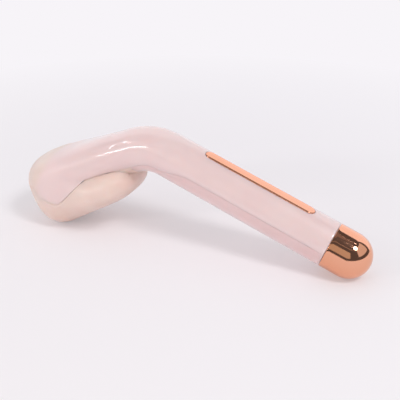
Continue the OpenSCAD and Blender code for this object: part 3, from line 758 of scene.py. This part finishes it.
wireLook = {"patch": 0.004, "rough": 0.32, "roughSpread": 0.12, "glossPatch": 0.002, "grain": 0.0005,
            "depth": 0.00001, "shading": {"Coat Weight": 0.3, "Coat Roughness": 0.15}}
plainLooks = {
    "pad_cream": ("milkPad", {
        **milk, "rough": 0.36, "roughSpread": 0.1, "glossPatch": 0.006, "grain": 0.0009,
        "depth": 0.000016, "shading": {
            "Subsurface Weight": 0.3, "Subsurface Scale": 0.005, "Subsurface Radius": (1.0, 0.5, 0.35),
            "Coat Weight": 0.1, "Coat Roughness": 0.2}}),
    "rose_gold": ("roseGold", {
        "first": srgb(242, 178, 148), "second": srgb(237, 171, 138), "patch": 0.02, "rough": 0.05,
        "roughSpread": 0.05, "glossPatch": 0.005, "grain": 0.0008, "depth": 0.000002,
        "shading": {"Metallic": 1.0}}),
    "inner_plastic": ("mouldedWhite", {
        "first": srgb(231, 228, 222), "second": srgb(222, 219, 212), "patch": 0.01, "rough": 0.42,
        "roughSpread": 0.14, "glossPatch": 0.004, "grain": 0.0006, "depth": 0.00002,
        "shading": {"Subsurface Weight": 0.1, "Subsurface Scale": 0.002}}),
    "aluminium": ("castAluminium", {
        "first": srgb(214, 216, 219), "second": srgb(198, 201, 205), "patch": 0.008, "rough": 0.32,
        "roughSpread": 0.16, "glossPatch": 0.003, "grain": 0.0004, "depth": 0.00001,
        "shading": {"Metallic": 1.0}}),
    "rubber_dark": ("darkRubber", {
        "first": srgb(52, 50, 50), "second": srgb(38, 37, 38), "patch": 0.004, "rough": 0.62,
        "roughSpread": 0.2, "glossPatch": 0.003, "grain": 0.0003, "depth": 0.00002}),
    "rubber_white": ("whiteRubber", {
        "first": srgb(236, 235, 230), "second": srgb(226, 224, 218), "patch": 0.003, "rough": 0.5,
        "roughSpread": 0.15, "glossPatch": 0.003, "grain": 0.0003, "depth": 0.00002,
        "shading": {"Subsurface Weight": 0.2, "Subsurface Scale": 0.001}}),
    "cell_wrap": ("cellWrap", {
        "first": srgb(70, 148, 130), "second": srgb(56, 132, 116), "patch": 0.012, "rough": 0.24,
        "roughSpread": 0.12, "glossPatch": 0.006, "grain": 0.0015, "depth": 0.00003,
        "shading": {"Coat Weight": 0.5, "Coat Roughness": 0.08}}),
    "chip_black": ("chipEpoxy", {
        "first": srgb(40, 40, 43), "second": srgb(30, 30, 33), "patch": 0.002, "rough": 0.5,
        "roughSpread": 0.15, "glossPatch": 0.002, "grain": 0.0002, "depth": 0.00001}),
    "light_white": ("clearLight", {
        "first": srgb(246, 245, 236), "second": srgb(238, 236, 224), "patch": 0.002, "rough": 0.12,
        "roughSpread": 0.1, "glossPatch": 0.002, "grain": 0.0005, "depth": 0.00001,
        "shading": {"Transmission Weight": 0.35, "IOR": 1.5, "Coat Weight": 0.4}}),
    "wire_red": ("wireRed", {**wireLook, "first": srgb(196, 46, 42), "second": srgb(180, 38, 36)}),
    "wire_blue": ("wireBlue", {**wireLook, "first": srgb(48, 74, 168), "second": srgb(40, 62, 148)}),
    "wire_white": ("wireWhite", {**wireLook, "first": srgb(232, 230, 224), "second": srgb(220, 217, 210)})}

pinkShell = shellFinish("pinkShell", srgb(241, 209, 206), srgb(237, 203, 201))
# the lower shell's pink is a darker copy of the upper shell's pink: painted shade for the underside
shadedPinkLow = shellFinish("shadedPinkLow", srgb(236, 199, 197), srgb(232, 193, 191))
finishes = {slot: plainFinish(name, look) for slot, (name, look) in plainLooks.items()}
finishes.update({"casing_pink": pinkShell, "film_amber": filmFinish(), "foam_white": foamFinish(),
                 "steel": steelFinish(), "board_green": boardFinish()})
slotOf = {part["node"]: part["material_slot"] for part in frame["record"]["subparts"]}
for name, node in frame["nodes"].items():
    dressed(node, finishes[slotOf[name]])

painted(casingUpper, "milk", milkiness(cornersOf(casingUpper)))
painted(casingUpper, "satin", smooth((rowToHead(cornersOf(casingUpper))[:, 0] - head["satinStart"])
                                     / head["satinRun"]))
for piece, finish, body, slot, node in (
        (casingUpper, pinkShell, "casing", "casing_pink", "upper_shell"),
        (casingLower, shadedPinkLow, "casing", "casing_pink", "lower_shell"),
        (warmPad, finishes["pad_cream"], "casing", "pad_cream", "massage_pad"),
        (pressKey, finishes["rose_gold"], "key", "rose_gold", "power_key"),
        (domeCap, finishes["rose_gold"], "cap", "rose_gold", "end_cap")):
    dressed(piece, finish)
    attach(piece, body)
    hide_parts(node)
print("finishes laid on")


camera = {"azimuth": 24.0, "elevation": 26.05, "distance": 0.3285, "target": (0.0044, 0.0, 0.0218),
          "lens": 67.23, "sensor": 36, "near": 0.01, "far": 50}


def aloft(azimuth, elevation, distance):
    # a place as seen from the wand: degrees round from the front, to the right, and up
    a, e = math.radians(azimuth), math.radians(elevation)
    return Vector(camera["target"]) + distance * Vector((
        math.sin(a) * math.cos(e), -math.cos(a) * math.cos(e), math.sin(e)))


def faced(held, azimuth, elevation, distance, tilt=0):
    # puts a camera or lamp there, looking at the wand
    held.location = aloft(azimuth, elevation, distance)
    facing = (Vector(camera["target"]) - held.location).to_track_quat("-Z", "Y")
    held.rotation_euler = (facing @ Quaternion((0, 0, 1), math.radians(tilt))).to_euler()


eye = bpy.data.objects.new("eye", bpy.data.cameras.new("eye"))
bpy.context.scene.collection.objects.link(eye)
eye.data.lens = camera["lens"]
eye.data.sensor_width = camera["sensor"]
eye.data.clip_start = camera["near"]
eye.data.clip_end = camera["far"]
faced(eye, camera["azimuth"], camera["elevation"], camera["distance"])
bpy.context.scene.camera = eye
bpy.context.scene.view_settings.view_transform = "Standard"


# The floor shades the wand's shadow up to bare metres away, then glows as the air does
studio = {"farFloor": srgb(247, 244, 248), "nearFloor": srgb(244, 240, 242), "floorSide": 8,
          "bare": 0.12, "blendRun": 0.2, "lift": 0.25, "nearY": -0.25, "farY": 0.2,
          "paper": {"Roughness": 0.85, "Specular IOR Level": 0.2}}

nothingSelected()
bpy.ops.mesh.primitive_grid_add(x_subdivisions=studio["floorSide"], y_subdivisions=studio["floorSide"],
                                size=studio["floorSide"], location=(0, 0, 0))
floor = bpy.context.object
floor.name = "floor"
paper = Finish("paperFloor", studio["paper"])
where = paper.place()
depth = paper.node("ShaderNodeSeparateXYZ", {}, {0: where}).outputs["Y"]
paperColour = paper.blend(paper.spread(depth, 0, 1, studio["nearY"], studio["farY"]),
                          studio["nearFloor"], studio["farFloor"])
paper.set("Base Color", paperColour)
reach = paper.node("ShaderNodeVectorMath", {"operation": "LENGTH"}, {0: where}).outputs["Value"]
away = paper.spread(reach, studio["lift"], 1, studio["bare"], studio["bare"] + studio["blendRun"])
rays = paper.node("ShaderNodeLightPath")
looked = Value(paper, rays.outputs["Is Camera Ray"]) + rays.outputs["Is Glossy Ray"]
glow = paper.node("ShaderNodeEmission", {}, {"Color": paperColour, "Strength": 1.0})
mixed = paper.node("ShaderNodeMixShader", {}, {0: looked * away, 1: paper.shader.outputs[0],
                                               2: glow.outputs[0]})
paper.put(paper.output.inputs[0], mixed.outputs[0])
dressed(floor, paper)

# How bright the air is to light what it falls on, to the camera, and to mirrors
air = {"colour": (0.97, 0.96, 0.98, 1), "ambient": 0.635, "seen": 0.92, "mirrored": 0.11}

world = bpy.data.worlds.new("studio")
bpy.context.scene.world = world
sky = Finish("air", {"Color": air["colour"]}, world)
rays = sky.node("ShaderNodeLightPath")
sky.set("Strength", air["ambient"]
        + Value(sky, rays.outputs["Is Camera Ray"]) * (air["seen"] - air["ambient"])
        + Value(sky, rays.outputs["Is Glossy Ray"]) * (air["mirrored"] - air["ambient"]))

# Azimuth and elevation in degrees; the lamps stand lampReach metres away
lampReach = 1.0
lamps = {
    "mainLamp": {"azimuth": 65, "elevation": 51, "tilt": 0, "size": (0.27, 0.27), "power": 3.2,
                 "shape": "ELLIPSE"},
    "sideLamp": {"azimuth": -38, "elevation": 16.5, "tilt": 42, "size": (0.52, 0.08), "power": 1.8,
                 "shape": "RECTANGLE"},
    "stripLamp": {"azimuth": -61, "elevation": 31, "tilt": 0, "size": (0.3, 0.07), "power": 0.6,
                  "shape": "RECTANGLE"},
    "glintLamp": {"azimuth": 100, "elevation": 62, "tilt": 0, "size": (0.05, 0.05), "power": 0.04,
                  "shape": "RECTANGLE"}}
for name, lamp in lamps.items():
    light = bpy.data.lights.new(name, "AREA")
    light.shape = lamp["shape"]
    light.size, light.size_y = lamp["size"]
    light.energy = lamp["power"]
    holder = bpy.data.objects.new(name, light)
    bpy.context.scene.collection.objects.link(holder)
    faced(holder, lamp["azimuth"], lamp["elevation"], lampReach, lamp["tilt"])

# Curved sheets that only mirrors see
cardColumns, cardRows = 24, 8
cards = {
    "backCard": {"azimuths": (131, 264), "elevations": (-1, 54), "distance": 1.3, "strength": 1.22,
                 "colour": studio["farFloor"]},
    "skyCard": {"azimuths": (172, 264), "elevations": (54, 80), "distance": 1.3, "strength": 1.1,
                "colour": studio["farFloor"]},
    "tanCard": {"azimuths": (-30, 24), "elevations": (10, 36), "distance": 1.2, "strength": 0.55,
                "colour": srgb(255, 247, 226)},
    "rightCard": {"azimuths": (63, 120), "elevations": (12, 50), "distance": 1.2, "strength": 0.72,
                  "colour": srgb(255, 250, 244)},
    "ceilingCard": {"azimuths": (0, 130), "elevations": (66, 88), "distance": 1.5, "strength": 0.24,
                    "colour": srgb(255, 240, 236)},
    "railCard": {"azimuths": (-40, 50), "elevations": (47.5, 49), "distance": 1.1, "strength": 0.5,
                 "colour": srgb(255, 244, 232)}}
for name, card in cards.items():
    sheet = wrapped(name, np.array([[aloft(between(*card["azimuths"], column / cardColumns),
                                           between(*card["elevations"], row / cardRows),
                                           card["distance"])
                                     for column in range(cardColumns + 1)]
                                    for row in range(cardRows + 1)]))
    dressed(sheet, Finish(name + "Shade", {
        "Base Color": (0, 0, 0, 1), "Roughness": 1.0, "Specular IOR Level": 0.0,
        "Emission Color": card["colour"], "Emission Strength": card["strength"]}))
    sheet.visible_camera = False
    sheet.visible_diffuse = False
    sheet.visible_shadow = False
    sheet.visible_transmission = False
print("studio set")

print("scene ready")
